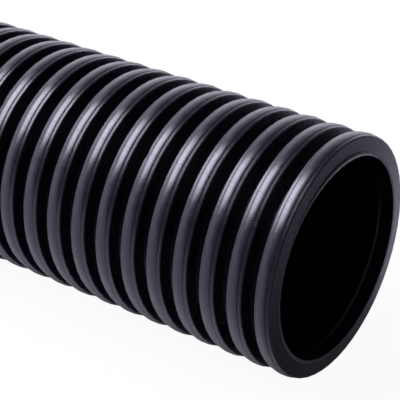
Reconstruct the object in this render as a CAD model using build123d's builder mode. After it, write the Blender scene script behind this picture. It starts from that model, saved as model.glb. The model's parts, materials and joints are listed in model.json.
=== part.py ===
from build123d import *
import os
from math import ceil, cos, pi, radians, sin, tan

# One metre of twin-wall cable duct. A smooth inner tube and a corrugated outer
# tube are welded to each other in every valley, so each rib is a closed hollow
# ring. The duct lies along X on the level z = 0, and the end that is sawn close
# to a rib is the one at +X. Millimetres and degrees.

# The stock
length = 1000.0
bore_diameter = 92.0
inner_wall = 0.7
outer_wall = 0.9

# The corrugation, which brings the outside to 110 mm over the ribs
rib_height = 7.4
rib_pitch = 13.7
crown_width = 7.6
corner_radius = 0.5
flank_draft = 3.0

# The raised band round the middle of each crown, and the steep sides it stands on
band_width = 4.4
band_rise = 0.42
side_run = 0.35
side_rise = 0.2

# What the saw leaves of the valley beyond the foot of the first rib
end_land = 0.7

bore_radius = bore_diameter / 2
weld_radius = bore_radius + inner_wall
valley_radius = weld_radius + outer_wall
outer_radius = valley_radius + rib_height
outer_diameter = 2 * outer_radius

# A crown is a cambered band between two flat shoulders. The band's camber is an
# arc through the outside radius, and straight sides drop from it to the shoulders.
shoulder_height = outer_radius - band_rise
band_foot_x = band_width / 2
band_edge_x = band_foot_x - side_run
band_edge_height = shoulder_height + side_rise

# Each shoulder rounds over into a flank that leans by the draft angle
draft = radians(flank_draft)
bend_middle = (pi / 2 - draft) / 2
corner_x = crown_width / 2 - corner_radius
corner_height = shoulder_height - corner_radius
bend_x = corner_x + corner_radius * sin(bend_middle)
bend_height = corner_height + corner_radius * cos(bend_middle)
flank_x = corner_x + corner_radius * cos(draft)
flank_height = corner_height + corner_radius * sin(draft)


def flank_place(height):
    """Half of a rib's outer width at this height over the duct's axis."""
    return flank_x + (flank_height - height) * tan(draft)


# The chamber in a rib leaves one outer wall's thickness on flanks and shoulders,
# and its floor is the inner tube
foot_x = flank_place(valley_radius)
chamber_top = shoulder_height - outer_wall
chamber_top_x = flank_place(chamber_top) - outer_wall / cos(draft)
chamber_floor_x = flank_place(weld_radius) - outer_wall / cos(draft)

# Ribs start at the +X end and go on until they have passed the other end
first_rib = length / 2 - end_land - foot_x
rib_count = ceil(length / rib_pitch) + 1
rib_places = [(first_rib - number * rib_pitch, 0) for number in range(rib_count)]

# One pitch of the outer tube in section, from the middle of a valley to the
# middle of the next: x runs along the duct, and y is the height over its axis
with BuildSketch() as wave:
    with BuildLine():
        half_pitch = rib_pitch / 2
        Polyline(
            (-half_pitch, weld_radius),
            (-half_pitch, valley_radius),
            (-foot_x, valley_radius),
            (-flank_x, flank_height),
        )
        ThreePointArc(
            (-flank_x, flank_height),
            (-bend_x, bend_height),
            (-corner_x, shoulder_height),
        )
        Polyline(
            (-corner_x, shoulder_height),
            (-band_foot_x, shoulder_height),
            (-band_edge_x, band_edge_height),
        )
        ThreePointArc(
            (-band_edge_x, band_edge_height),
            (0, outer_radius),
            (band_edge_x, band_edge_height),
        )
        Polyline(
            (band_edge_x, band_edge_height),
            (band_foot_x, shoulder_height),
            (corner_x, shoulder_height),
        )
        ThreePointArc(
            (corner_x, shoulder_height),
            (bend_x, bend_height),
            (flank_x, flank_height),
        )
        Polyline(
            (flank_x, flank_height),
            (foot_x, valley_radius),
            (half_pitch, valley_radius),
            (half_pitch, weld_radius),
            (-half_pitch, weld_radius),
        )
    make_face()
    Polygon(
        (-chamber_floor_x, weld_radius),
        (chamber_floor_x, weld_radius),
        (chamber_top_x, chamber_top),
        (-chamber_top_x, chamber_top),
        align=None,
        mode=Mode.SUBTRACT,
    )

# The section of the whole length, turned about the duct's axis
section_plane = Plane(origin=(0, 0, outer_radius), x_dir=(1, 0, 0), z_dir=(0, -1, 0))
duct_axis = Axis(origin=(0, 0, outer_radius), direction=(1, 0, 0))

with BuildPart() as duct:
    with BuildSketch(section_plane):
        with Locations(rib_places):
            add(wave.sketch)
        with Locations((0, bore_radius + inner_wall / 2)):
            Rectangle(length, inner_wall)
        # Both ends are sawn square. The cut reaches well past the ribs.
        Rectangle(length, 2 * outer_diameter, mode=Mode.INTERSECT)
    revolve(axis=duct_axis)

duct.part.label = "duct"
os.makedirs("parts", exist_ok=True)
export_step(duct.part, "parts/duct.step")
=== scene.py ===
import bpy
import json
import math
import numpy as np
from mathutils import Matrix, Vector


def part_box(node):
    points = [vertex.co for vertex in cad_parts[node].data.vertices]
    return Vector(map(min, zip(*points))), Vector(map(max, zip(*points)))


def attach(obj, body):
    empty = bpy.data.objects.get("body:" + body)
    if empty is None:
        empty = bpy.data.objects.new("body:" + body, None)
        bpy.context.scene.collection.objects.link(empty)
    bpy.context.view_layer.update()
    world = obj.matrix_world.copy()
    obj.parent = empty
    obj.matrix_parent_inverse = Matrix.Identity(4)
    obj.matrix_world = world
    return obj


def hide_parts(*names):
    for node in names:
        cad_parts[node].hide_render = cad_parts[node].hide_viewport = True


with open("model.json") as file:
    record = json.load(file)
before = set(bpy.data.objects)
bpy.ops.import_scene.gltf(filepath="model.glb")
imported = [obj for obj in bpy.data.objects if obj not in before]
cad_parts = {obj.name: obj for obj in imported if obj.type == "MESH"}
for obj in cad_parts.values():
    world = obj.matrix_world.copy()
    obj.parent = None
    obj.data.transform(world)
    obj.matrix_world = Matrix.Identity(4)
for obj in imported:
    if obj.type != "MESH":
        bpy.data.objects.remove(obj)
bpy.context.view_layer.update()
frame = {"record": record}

# The duct lies along X on the floor. Metres and radians. Lengths that the packed
# model states are read from it, and the rest of the section repeats its source.
# An angle round the duct counts from the top towards -Y.
MM = 0.001
low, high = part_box("duct")
mounts = {mount["name"]: mount for mount in frame["record"]["mounts"]}
HALF_LENGTH = (high[0] - low[0]) / 2
OUTER_RADIUS = mounts["coupler_seat"]["dims"]["r_mm"] * MM
BORE_RADIUS = mounts["bore"]["dims"]["r_mm"] * MM
VALLEY_WALL = 1.6 * MM
RIB_PITCH = 13.7 * MM
CROWN_WIDTH = 7.6 * MM
FLANK_DRAFT = math.radians(3)
END_LAND = 0.7 * MM
BAND_RISE = 0.42 * MM

# Roundings that only the finished surface has. The band is cambered over its
# middle, and a rounded edge and a small hollow take it down to the shoulder,
# which falls a little towards its corner. Another hollow joins each flank to the
# valley floor.
BAND_MIDDLE = 3.4 * MM
BAND_CAMBER = 0.185 * MM
EDGE_RADIUS = 0.8 * MM
HOLLOW_RADIUS = 0.35 * MM
SHOULDER_FALL = math.radians(10)
SHOULDER_CORNER = 0.7 * MM
FOOT_RADIUS = 0.2 * MM

# The cut wanders. It leaves most of the valley at the top, and on the -Y side it
# runs close to the foot of the rib, where a knife has also trimmed the inner edge.
# A spot is its middle angle, its reach to either side and its height. The outer
# edge of the rim is rounded all round.
CUT_DEPTH = 0.3 * MM
HIGH_SPOT = (math.radians(-10), math.radians(60), -0.3 * MM)
LOW_SPOT = (math.radians(80), math.radians(60), 0.35 * MM)
TRIM_SPOT = (math.radians(70), math.radians(75), 1.2 * MM)
TRIM_LEAST = 0.1 * MM
TRIM_SLOPE = 1.2
RIM_RADIUS = 0.22 * MM

# A low ring stands in the bore a little way inside the mouth
RING_DEPTH = 8.0 * MM
RING_WIDTH = 3.6 * MM
RING_RISE = 0.40 * MM

# How finely the duct is divided, and the least distance between two rings
COLUMNS = 52
EDGE_STEPS = 2
CORNER_STEPS = 3
RIM_STEPS = 3
RING_STEPS = 6
PROBE_STEPS = 400
CLEARANCE = 0.01 * MM

# The ribs are formed by two rows of mould blocks. The rows part along a line
# down each side of the duct, and a new pair of blocks begins at every sixth rib,
# where the far shoulder is pressed in a little beside the parting line. The press
# fades in over these distances from the rib's middle and up to this height over
# the valley floor.
PARTING_ANGLE = math.radians(39)
PARTING_COLUMNS = np.radians([-3.4, -1.6, 1.6, 3.4])
BLOCK_RIBS = 6
PRESS_DEPTH = 0.5 * MM
PRESS_REACH = math.radians(4.6)
PRESS_ACROSS = (2 * MM, 3 * MM)
PRESS_HEIGHT = 3 * MM


def arc(centre_x, centre_y, radius, start, stop, steps):
    """Points along an arc of a circle, each with the angle that it faces.

    Angles count from straight outward towards +X, so a point lies at the centre
    plus the radius times the sine along x and the cosine outward. A hollow arc
    has a negative radius: its points lie opposite to where they face.
    """
    turn = np.linspace(start, stop, steps + 1)
    return np.stack([
        centre_x + radius * np.sin(turn),
        centre_y + radius * np.cos(turn),
        turn,
    ])


def half_rib():
    """The +X half of a rib in section, from the crown's middle down to its foot.

    The band's middle is a flat arc. Its edge arc and the hollow arc after it
    share the slope at which they meet, and that slope's cosine is what makes all
    the drops add up to the band's rise. The shoulder falls in a straight line to
    the corner, an arc that turns to the draft angle. A hollow arc joins the flank
    to the valley floor.
    """
    middle_x = BAND_MIDDLE / 2
    middle_radius = (middle_x**2 + BAND_CAMBER**2) / (2 * BAND_CAMBER)
    middle_turn = math.asin(middle_x / middle_radius)
    middle = arc(0, OUTER_RADIUS - middle_radius, middle_radius, 0, middle_turn, 1)
    edge_x = middle_x - EDGE_RADIUS * math.sin(middle_turn)
    edge_y = middle[1, -1] - EDGE_RADIUS * math.cos(middle_turn)
    shoulder_y = OUTER_RADIUS - BAND_RISE
    hollow_y = shoulder_y + HOLLOW_RADIUS
    slope = math.acos((hollow_y - edge_y) / (EDGE_RADIUS + HOLLOW_RADIUS))
    hollow_x = edge_x + (EDGE_RADIUS + HOLLOW_RADIUS) * math.sin(slope)
    hollow = arc(hollow_x, hollow_y, -HOLLOW_RADIUS, slope, SHOULDER_FALL, 1)
    upright = math.pi / 2 - FLANK_DRAFT
    corner_x = CROWN_WIDTH / 2 - SHOULDER_CORNER
    corner_top = hollow[1, -1] - (corner_x - hollow_x) * math.tan(SHOULDER_FALL)
    corner = arc(
        corner_x, corner_top - SHOULDER_CORNER,
        SHOULDER_CORNER, SHOULDER_FALL, upright, CORNER_STEPS,
    )
    valley_y = BORE_RADIUS + VALLEY_WALL
    flank_foot = corner[0, -1] + (corner[1, -1] - valley_y) * math.tan(FLANK_DRAFT)
    half = np.concatenate([
        middle,
        arc(edge_x, edge_y, EDGE_RADIUS, middle_turn, slope, EDGE_STEPS)[:, 1:],
        hollow[:, 1:],
        corner,
        arc(
            flank_foot + FOOT_RADIUS * math.tan(upright / 2), valley_y + FOOT_RADIUS,
            -FOOT_RADIUS, upright, 0, 1,
        ),
    ], axis=1)
    return half, flank_foot


def outside_section():
    """The whole outside in section: one rib's section set down at every pitch.

    The first rib stands beside the +X end, and points beyond the other end go.
    Each end gets a point of its own at the height and facing of the curve there,
    which at the +X end are those of the valley floor. The last two rows number the
    ribs from the +X end and give the offset of a point from its rib's middle.
    """
    half, flank_foot = half_rib()
    mirrored = half[:, :0:-1] * np.array([[-1], [1], [-1]])
    rib = np.concatenate([mirrored, half], axis=1)
    count = math.ceil(2 * HALF_LENGTH / RIB_PITCH) + 1
    number = np.arange(count)[::-1]
    places = HALF_LENGTH - END_LAND - flank_foot - RIB_PITCH * number
    x = (places[:, None] + rib[0]).ravel()
    section = np.stack([
        x,
        np.tile(rib[1], count),
        np.tile(rib[2], count),
        np.repeat(number, rib.shape[1]),
        x - np.repeat(places, rib.shape[1]),
    ])
    far, near = (
        np.array([[end]] + [[np.interp(end, x, row)] for row in section[1:]])
        for end in (-HALF_LENGTH, HALF_LENGTH)
    )
    return np.concatenate([far, section[:, x > -HALF_LENGTH + CLEARANCE], near], axis=1)


def column_angles():
    """Angles round the duct: even, with some more beside both parting lines."""
    even = PARTING_ANGLE + np.arange(COLUMNS) * 2 * math.pi / COLUMNS
    extra = PARTING_ANGLE + np.concatenate([PARTING_COLUMNS, math.pi + PARTING_COLUMNS])
    return np.sort(np.concatenate([even, extra]) % (2 * math.pi))


def spot(angles, place):
    """A raised cosine round the duct: its middle angle, its reach and its height."""
    middle, reach, height = place
    away = (angles - middle + math.pi) % (2 * math.pi) - math.pi
    return height * np.cos(np.clip(away / reach, -1, 1) * math.pi / 2)**2


def pressed(section, angles):
    """How far each point of the outside moves towards +X beside a parting line.

    On the last rib of each block the far shoulder moves by the press depth, less
    the further its angle is from the parting line, as a raised cosine does that
    ends at the press's reach. It fades towards the band and the valley floor.
    """
    beside = sum(
        spot(angles, (PARTING_ANGLE + side, PRESS_REACH, PRESS_DEPTH))
        for side in (0, math.pi)
    )
    _, y, _, number, offset = section
    last = (number % BLOCK_RIBS == BLOCK_RIBS - 1) & (offset < 0)
    outward = np.clip((y - BORE_RADIUS - VALLEY_WALL) / PRESS_HEIGHT, 0, 1)
    across = np.interp(-offset, PRESS_ACROSS, (0, 1))
    return (last * outward * across)[:, None] * beside


def pulled_back(x, limit):
    """Rings at x, where those past the limit at some angle stop just short of it.

    The last ring lies on the limit, and each one before it stops a clearance short
    of the next.
    """
    short = CLEARANCE * np.arange(len(x))
    return np.minimum(x[:, None], limit[None, :] - short[::-1, None])


def outside_strip(cut, angles):
    """The moulded outside, from the far end to where the rim's rounding starts.

    The rounding starts where an arc of the rim's radius, turned from the outside's
    facing to +X, just reaches the cut.
    """
    section = outside_section()
    probe = np.linspace(HALF_LENGTH - RIB_PITCH / 4, HALF_LENGTH, PROBE_STEPS)
    lean = np.sin(np.interp(probe, section[0], section[2]))
    start = np.interp(cut, probe + RIM_RADIUS * (1 - lean), probe)
    x = pulled_back(section[0], start)
    y = np.interp(x, section[0], section[1])
    facing = np.interp(x, section[0], section[2])
    return x + pressed(section, angles), y, facing, False


def rim_strip(cut, trim, start_y, start_facing):
    """The near end's face: the rim's arc from the outside to +X, then the flat cut."""
    forward = np.full_like(cut, math.pi / 2)
    turn = np.linspace(start_facing, forward, RIM_STEPS + 1)
    arc_y = start_y + RIM_RADIUS * (np.cos(turn) - np.cos(start_facing))
    return (
        np.concatenate([cut + RIM_RADIUS * (np.sin(turn) - 1), [cut]]),
        np.concatenate([arc_y, [BORE_RADIUS + trim]]),
        np.concatenate([turn, [forward]]),
        True,
    )


def bevel_strip(cut, trim, edge):
    """The bevel that the knife left round the inner edge of the cut."""
    return (
        np.array([cut, edge]),
        np.array([BORE_RADIUS + trim, np.full_like(cut, BORE_RADIUS)]),
        np.full((2, len(cut)), math.pi - math.atan(1 / TRIM_SLOPE)),
        True,
    )


def bore_strip(edge):
    """The bore, from the inner edge of the cut over the low ring to the far end.

    The ring rises by a raised cosine over its width, and its facing leans by the
    arc tangent of that curve's slope.
    """
    level = np.ones_like(edge)
    ring = np.linspace(-1, 1, RING_STEPS + 1)
    depth = np.concatenate([[0], RING_DEPTH + ring * RING_WIDTH / 2, [2 * HALF_LENGTH]])
    rise = np.concatenate([[0], RING_RISE * np.cos(ring * math.pi / 2)**2, [0]])
    slope = np.concatenate([[0], np.sin(ring * math.pi), [0]]) * RING_RISE * math.pi / RING_WIDTH
    x = (HALF_LENGTH - depth)[:, None] * level
    x[0] = edge
    return (
        x,
        (BORE_RADIUS - rise)[:, None] * level,
        (math.pi + np.arctan(slope))[:, None] * level,
        False,
    )


def make_strips(angles):
    """The skin of the duct in strips of rings, each ring a row of arrays.

    A strip has the place along X, the height over the axis and the facing of all
    its points, and whether it is sawn. The last strip is the far end's face.
    """
    cut = HALF_LENGTH - CUT_DEPTH - spot(angles, HIGH_SPOT) - spot(angles, LOW_SPOT)
    trim = TRIM_LEAST + spot(angles, TRIM_SPOT)
    edge = cut - TRIM_SLOPE * trim
    outside = outside_strip(cut, angles)
    _, y, facing, _ = outside
    far_end = (
        np.full((2, len(angles)), -HALF_LENGTH),
        np.array([np.full_like(cut, BORE_RADIUS), y[0]]),
        np.full((2, len(angles)), -math.pi / 2),
        True,
    )
    return [
        outside,
        rim_strip(cut, trim, y[-1], facing[-1]),
        bevel_strip(cut, trim, edge),
        bore_strip(edge),
        far_end,
    ]


def ring_mesh(name, strips, angles):
    """Turn strips about the duct's axis into one closed mesh.

    A point at place x and height y becomes a vertex at x along the duct, minus y
    times the angle's sine across it, and the axis height plus y times the cosine.
    Each strip begins on the last ring of the one before, and the first on that of
    the last. Its normals lean from outward towards X by its facing. Faces that
    were sawn carry a 1 in the attribute "sawn".
    """
    ring_sin, ring_cos = np.sin(angles), np.cos(angles)
    columns = len(angles)
    rings = sum(len(x) - 1 for x, _, _, _ in strips)
    column = np.arange(columns)[None, :]
    following = (column + 1) % columns
    places, faces, normals, marks = [], [], [], []
    first = 0
    for x, y, facing, sawn in strips:
        places.append(np.stack([
            x, -y * ring_sin, OUTER_RADIUS + y * ring_cos,
        ], axis=-1)[:-1].reshape(-1, 3))
        lean = np.stack([
            np.sin(facing), -np.cos(facing) * ring_sin, np.cos(facing) * ring_cos,
        ], axis=-1)
        ring = (first + np.arange(len(x)))[:, None] % rings * columns
        here, there = ring[:-1], ring[1:]
        faces.append(np.stack([
            here + column, here + following, there + following, there + column,
        ], axis=-1).reshape(-1, 4))
        normals.append(np.stack([
            lean[:-1], np.roll(lean, -1, axis=1)[:-1],
            np.roll(lean, -1, axis=1)[1:], lean[1:],
        ], axis=2).reshape(-1, 3))
        marks.append(np.full((len(x) - 1) * columns, float(sawn)))
        first += len(x) - 1
    mesh = bpy.data.meshes.new(name)
    mesh.from_pydata(np.concatenate(places), [], np.concatenate(faces))
    mesh.polygons.foreach_set("use_smooth", np.ones(len(mesh.polygons), bool))
    mesh.attributes.new("sawn", "FLOAT", "FACE").data.foreach_set("value", np.concatenate(marks))
    mesh.normals_split_custom_set(np.concatenate(normals))
    mesh.update()
    piece = bpy.data.objects.new(name, mesh)
    bpy.context.scene.collection.objects.link(piece)
    return piece


# The skin where the mottle is darkest and palest, the sawn faces, the pale burr
# along the top of their inner edge, which is partly a painted highlight, and the
# tint of reflections
DEEP_BLACK = (0.0024, 0.0019, 0.0052, 1)
WORN_BLACK = (0.0044, 0.0037, 0.0080, 1)
SAWN_GREY = (0.083, 0.077, 0.098, 1)
BURR_AND_HIGHLIGHT_GREY = (0.62, 0.60, 0.66, 1)
SHEEN_TINT = (0.88, 0.82, 1.0, 1)
SKIN_ROUGHNESS = (0.25, 0.32)
SAWN_ROUGHNESS = 0.5
PLASTIC_IOR = 1.54

# The pale burr, which is partly a painted highlight, fades in between these
# heights over the axis, and out between these distances from the bore
BURR_AND_HIGHLIGHT_HEIGHT = (34 * MM, 43 * MM)
BURR_AND_HIGHLIGHT_WIDTH = (0.4 * MM, 0.7 * MM)

# Patterns in turns a metre, and the depths of their relief. Strokes of the saw have
# a scale along X, Y and Z. The mottle runs from dark to pale over MOTTLE_RANGE.
MOTTLE_SCALE = 260
MOTTLE_RANGE = (0.3, 0.7)
MOTTLE_DEPTH = 0.012 * MM
GRAIN_SCALE = 2400
GRAIN_DEPTH = 0.0015 * MM
STROKE_SCALE = (300, 250, 3200)
STROKE_DEPTH = 0.08 * MM

# The parting line's half width and height. It fades in between these depths
# under the top of the crowns.
SEAM_WIDTH = 0.35 * MM
SEAM_HEIGHT = 0.04 * MM
SEAM_FADE = (3 * MM, 1 * MM)


def add_node(tree, kind, inputs, **settings):
    """A shader node with its settings. An input gets a socket's link or a value."""
    made = tree.nodes.new(kind)
    for name, value in settings.items():
        setattr(made, name, value)
    for name, value in inputs.items():
        if isinstance(value, bpy.types.NodeSocket):
            tree.links.new(value, made.inputs[name])
        else:
            made.inputs[name].default_value = value
    return made


def way_from_axis(tree, place):
    """The way to a place from the nearest point of the duct's axis, and its length."""
    way = add_node(
        tree, "ShaderNodeVectorMath", {0: place, 1: (0, 0, OUTER_RADIUS)}, operation="SUBTRACT",
    ).outputs[0]
    way = add_node(
        tree, "ShaderNodeVectorMath", {0: way, 1: (0, 1, 1)}, operation="MULTIPLY",
    ).outputs[0]
    radius = add_node(tree, "ShaderNodeVectorMath", {0: way}, operation="LENGTH")
    return way, radius.outputs["Value"]


def parting_height(tree, way, radius):
    """1 along the mould's parting line, and 0 beside it and below the crowns.

    The line lies where the plane through the duct's axis at the parting angle
    comes through the surface. A point's distance from that plane is its way from
    the axis times the plane's normal.
    """
    normal = (0, math.cos(PARTING_ANGLE), math.sin(PARTING_ANGLE))
    away = add_node(tree, "ShaderNodeVectorMath", {0: way, 1: normal}, operation="DOT_PRODUCT")
    distance = add_node(
        tree, "ShaderNodeMath", {0: away.outputs["Value"]}, operation="ABSOLUTE",
    )
    beside = add_node(tree, "ShaderNodeMapRange", {
        "Value": distance.outputs[0], "From Max": SEAM_WIDTH, "To Min": 1, "To Max": 0,
    }, interpolation_type="SMOOTHSTEP")
    crown = add_node(tree, "ShaderNodeMapRange", {
        "Value": radius,
        "From Min": OUTER_RADIUS - SEAM_FADE[0], "From Max": OUTER_RADIUS - SEAM_FADE[1],
    })
    return add_node(
        tree, "ShaderNodeMath", {0: beside.outputs[0], 1: crown.outputs[0]},
        operation="MULTIPLY",
    ).outputs[0]


def burr_and_highlight_share(tree, way, radius):
    """1 where the saw left its burr along the upper part of the inner edge, a pale mark that is
    partly a painted highlight.
    """
    height = add_node(tree, "ShaderNodeSeparateXYZ", {0: way}).outputs["Z"]
    upper = add_node(tree, "ShaderNodeMapRange", {
        "Value": height, "From Min": BURR_AND_HIGHLIGHT_HEIGHT[0], "From Max": BURR_AND_HIGHLIGHT_HEIGHT[1],
    }, interpolation_type="SMOOTHSTEP")
    inner = add_node(tree, "ShaderNodeMapRange", {
        "Value": radius, "From Min": BORE_RADIUS + BURR_AND_HIGHLIGHT_WIDTH[0],
        "From Max": BORE_RADIUS + BURR_AND_HIGHLIGHT_WIDTH[1], "To Min": 1, "To Max": 0,
    })
    return add_node(
        tree, "ShaderNodeMath", {0: upper.outputs[0], 1: inner.outputs[0]},
        operation="MULTIPLY",
    ).outputs[0]


def laid_over(tree, layers):
    """Bumps laid over one another, each from a pattern and the depth of its relief."""
    relief = None
    for height, depth in layers:
        under = {} if relief is None else {"Normal": relief}
        relief = add_node(
            tree, "ShaderNodeBump", {"Height": height, "Distance": depth, **under},
        ).outputs[0]
    return relief


def black_polyethylene():
    """Carbon-black polyethylene as it leaves the mould, greyer where it was sawn.

    The moulded skin is satin with a soft mottle, a fine grain and the mould's
    parting line. Sawn faces are rougher, show the strokes of the saw, and have a
    pale burr along the top of the inner edge, which is partly a painted highlight.
    """
    material = bpy.data.materials.new("black_polyethylene")
    material.use_nodes = True
    tree = material.node_tree
    place = add_node(tree, "ShaderNodeTexCoord", {}).outputs["Object"]
    way, radius = way_from_axis(tree, place)
    sawn = add_node(tree, "ShaderNodeAttribute", {}, attribute_name="sawn").outputs["Fac"]
    mottle = add_node(tree, "ShaderNodeTexNoise", {
        "Vector": place, "Scale": MOTTLE_SCALE, "Detail": 3, "Roughness": 0.5,
    }).outputs["Fac"]
    grain = add_node(tree, "ShaderNodeTexNoise", {
        "Vector": place, "Scale": GRAIN_SCALE, "Detail": 1,
    }).outputs["Fac"]
    along = add_node(tree, "ShaderNodeMapping", {"Vector": place, "Scale": STROKE_SCALE})
    strokes = add_node(tree, "ShaderNodeTexNoise", {
        "Vector": along.outputs[0], "Scale": 1, "Detail": 2,
    }).outputs["Fac"]
    cut = add_node(tree, "ShaderNodeMath", {0: strokes, 1: sawn}, operation="MULTIPLY")

    spread = add_node(tree, "ShaderNodeMapRange", {
        "Value": mottle, "From Min": MOTTLE_RANGE[0], "From Max": MOTTLE_RANGE[1],
    }).outputs[0]
    skin = add_node(
        tree, "ShaderNodeMix", {0: spread, 6: DEEP_BLACK, 7: WORN_BLACK}, data_type="RGBA",
    )
    # The sawn grey, and the pale burr at the top of the inner edge, partly a painted highlight
    fresh_and_highlight = add_node(
        tree, "ShaderNodeMix",
        {0: burr_and_highlight_share(tree, way, radius), 6: SAWN_GREY, 7: BURR_AND_HIGHLIGHT_GREY}, data_type="RGBA",
    )
    colour = add_node(
        tree, "ShaderNodeMix", {0: sawn, 6: skin.outputs[2], 7: fresh_and_highlight.outputs[2]},
        data_type="RGBA",
    )
    satin = add_node(
        tree, "ShaderNodeMix", {0: spread, 2: SKIN_ROUGHNESS[0], 3: SKIN_ROUGHNESS[1]},
    )
    roughness = add_node(
        tree, "ShaderNodeMix", {0: sawn, 2: satin.outputs[0], 3: SAWN_ROUGHNESS},
    )

    relief = laid_over(tree, [
        (mottle, MOTTLE_DEPTH),
        (grain, GRAIN_DEPTH),
        (parting_height(tree, way, radius), SEAM_HEIGHT),
        (cut.outputs[0], STROKE_DEPTH),
    ])

    shader = tree.nodes["Principled BSDF"]
    shader.inputs["IOR"].default_value = PLASTIC_IOR
    shader.inputs["Specular Tint"].default_value = SHEEN_TINT
    tree.links.new(colour.outputs[2], shader.inputs["Base Color"])
    tree.links.new(roughness.outputs[0], shader.inputs["Roughness"])
    tree.links.new(relief, shader.inputs["Normal"])
    return material


# The camera's place, the way it looks and how far it sees. The first two follow
# from the perspective of the ribs. The focal length is in picture widths, and the
# sensor in millimetres.
SIGHT_AZIMUTH = math.radians(35.5)
SIGHT_ELEVATION = math.radians(29.57)
SIGHT_PLACE = (0.7608, -0.4692, 0.3867)
SIGHT_REACH = 20
FOCAL_WIDTHS = 1471 / 400
SENSOR_WIDTH = 36


def place_camera():
    """The camera, which looks down on the near end and isn't tilted sideways."""
    data = bpy.data.cameras.new("camera")
    data.sensor_fit = "HORIZONTAL"
    data.sensor_width = SENSOR_WIDTH
    data.lens = FOCAL_WIDTHS * SENSOR_WIDTH
    data.clip_end = SIGHT_REACH
    camera = bpy.data.objects.new("camera", data)
    bpy.context.scene.collection.objects.link(camera)
    camera.location = SIGHT_PLACE
    camera.rotation_euler = (math.pi / 2 - SIGHT_ELEVATION, 0, SIGHT_AZIMUTH)
    bpy.context.scene.camera = camera


# The room's light grows from the first level to the second as a direction's part
# along ROOM_WAY grows over ROOM_RANGE. That way is low beyond the duct's far end.
ROOM_WAY = (-1.0, 0.25, -0.6)
ROOM_RANGE = (-0.10, 0.70)
ROOM_LIGHT = (0.2, 1.9)
ROOM_TINT = (0.90, 0.86, 1.0, 1)
WHITE = (1, 1, 1, 1)

# The floor's colour goes over to a painted shade as a place's part along FLOOR_WAY
# grows over FLOOR_RANGE, which begins at the mouth. The last two say how much plain
# white is mixed into what the camera sees of the floor, and into what mirrors see.
FLOOR_REACH = 6
FLOOR_WAY = (1, -0.3, 0)
FLOOR_RANGE = (0.485, 0.535)
FLOOR_COLOUR = (0.59, 0.57, 0.65, 1)
FLOOR_PAINTED_SHADE = (0.13, 0.125, 0.15, 1)
SEEN_WHITE = 0.95
MIRRORED_WHITE = 0.05

# The softbox that draws the long highlight: what it faces, the way and the
# distance to it from there, the way of its longer side, its size, power and tint
KEY_TARGET = Vector((0.38, 0, OUTER_RADIUS))
KEY_WAY = Vector((-0.53, -0.27, 0.80))
KEY_DISTANCE = 6.0
KEY_LONG_WAY = Vector((0, -0.946, -0.323))
KEY_SIZE = (4.5, 3.4)
KEY_POWER = 730
KEY_TINT = (0.97, 0.97, 1)


def hang_softbox():
    """A rectangular lamp that faces the duct.

    Its longer side runs along its own way, as far as the lamp's plane allows.
    """
    data = bpy.data.lights.new("key_softbox", "AREA")
    data.shape = "RECTANGLE"
    data.size, data.size_y = KEY_SIZE
    data.energy = KEY_POWER
    data.color = KEY_TINT
    lamp = bpy.data.objects.new("key_softbox", data)
    bpy.context.scene.collection.objects.link(lamp)
    back = KEY_WAY.normalized()
    across = (KEY_LONG_WAY - KEY_LONG_WAY.dot(back) * back).normalized()
    turn = lamp.rotation_euler.to_matrix()
    turn.col[0] = across
    turn.col[1] = back.cross(across)
    turn.col[2] = back
    lamp.location = KEY_TARGET + KEY_DISTANCE * back
    lamp.rotation_euler = turn.to_euler()


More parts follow.
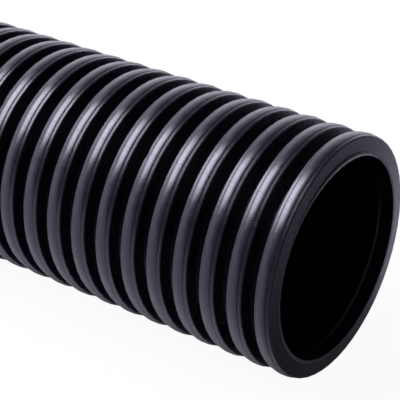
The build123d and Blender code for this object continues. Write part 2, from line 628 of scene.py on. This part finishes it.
def white_floor():
    """A pale paint that partly shines white, so that the shadow on it stays faint.

    The camera sees most of that white, mirrors see a little of it, and the light
    that falls on other things comes from the paint alone. Beyond the duct's mouth
    the paint turns to a painted shade, except to the camera.
    """
    material = bpy.data.materials.new("white_floor")
    material.use_nodes = True
    tree = material.node_tree
    tree.nodes.clear()
    path = add_node(tree, "ShaderNodeLightPath", {}).outputs
    mirrored = add_node(tree, "ShaderNodeMath", {
        0: path["Is Glossy Ray"], 1: path["Is Transmission Ray"],
    }, operation="MAXIMUM")
    seen = add_node(tree, "ShaderNodeMath", {
        0: path["Is Camera Ray"], 1: SEEN_WHITE,
    }, operation="MULTIPLY")
    share = add_node(tree, "ShaderNodeMath", {
        0: mirrored.outputs[0], 1: MIRRORED_WHITE, 2: seen.outputs[0],
    }, operation="MULTIPLY_ADD")
    place = add_node(tree, "ShaderNodeTexCoord", {}).outputs["Object"]
    # Painted shade on the floor beyond the mouth, which the camera doesn't see
    along = add_node(
        tree, "ShaderNodeVectorMath", {0: place, 1: FLOOR_WAY}, operation="DOT_PRODUCT",
    )
    beyond = add_node(tree, "ShaderNodeMapRange", {
        "Value": along.outputs["Value"], "From Min": FLOOR_RANGE[0], "From Max": FLOOR_RANGE[1],
    }, interpolation_type="SMOOTHSTEP")
    unseen = add_node(
        tree, "ShaderNodeMath", {0: 1, 1: path["Is Camera Ray"]}, operation="SUBTRACT",
    )
    shaded = add_node(
        tree, "ShaderNodeMath", {0: beyond.outputs[0], 1: unseen.outputs[0]},
        operation="MULTIPLY",
    )
    colour = add_node(
        tree, "ShaderNodeMix", {0: shaded.outputs[0], 6: FLOOR_COLOUR, 7: FLOOR_PAINTED_SHADE},
        data_type="RGBA",
    )
    paint = add_node(tree, "ShaderNodeBsdfDiffuse", {"Color": colour.outputs[2]})
    white = add_node(tree, "ShaderNodeEmission", {"Strength": 1})
    mix = add_node(tree, "ShaderNodeMixShader", {
        0: share.outputs[0], 1: paint.outputs[0], 2: white.outputs[0],
    })
    add_node(tree, "ShaderNodeOutputMaterial", {"Surface": mix.outputs[0]})
    return material


def lay_floor():
    """One square of floor at the level z = 0, far wider than the picture."""
    mesh = bpy.data.meshes.new("floor")
    corners = [(-1, -1), (1, -1), (1, 1), (-1, 1)]
    mesh.from_pydata(
        [(x * FLOOR_REACH, y * FLOOR_REACH, 0) for x, y in corners], [], [(0, 1, 2, 3)],
    )
    mesh.materials.append(white_floor())
    floor = bpy.data.objects.new("floor", mesh)
    bpy.context.scene.collection.objects.link(floor)


def light_room():
    """A pale room, dim except low beyond the duct's far end.

    The camera sees it as plain white.
    """
    world = bpy.data.worlds.new("studio")
    bpy.context.scene.world = world
    world.use_nodes = True
    tree = world.node_tree
    way = add_node(tree, "ShaderNodeTexCoord", {}).outputs["Generated"]
    along = add_node(
        tree, "ShaderNodeVectorMath", {0: way, 1: ROOM_WAY}, operation="DOT_PRODUCT",
    )
    level = add_node(tree, "ShaderNodeMapRange", {
        "Value": along.outputs["Value"], "From Min": ROOM_RANGE[0], "From Max": ROOM_RANGE[1],
        "To Min": ROOM_LIGHT[0], "To Max": ROOM_LIGHT[1],
    }).outputs[0]
    seen = add_node(tree, "ShaderNodeLightPath", {}).outputs["Is Camera Ray"]
    strength = add_node(tree, "ShaderNodeMix", {0: seen, 2: level, 3: 1})
    tint = add_node(
        tree, "ShaderNodeMix", {0: seen, 6: ROOM_TINT, 7: WHITE}, data_type="RGBA",
    )
    sky = tree.nodes["Background"]
    tree.links.new(tint.outputs[2], sky.inputs["Color"])
    tree.links.new(strength.outputs[0], sky.inputs["Strength"])


angles = column_angles()
duct = ring_mesh("ribbed_duct", make_strips(angles), angles)
duct.data.materials.append(black_polyethylene())
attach(duct, "root")
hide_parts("duct")

place_camera()
lay_floor()
light_room()
hang_softbox()
bpy.context.scene.view_settings.view_transform = "Standard"
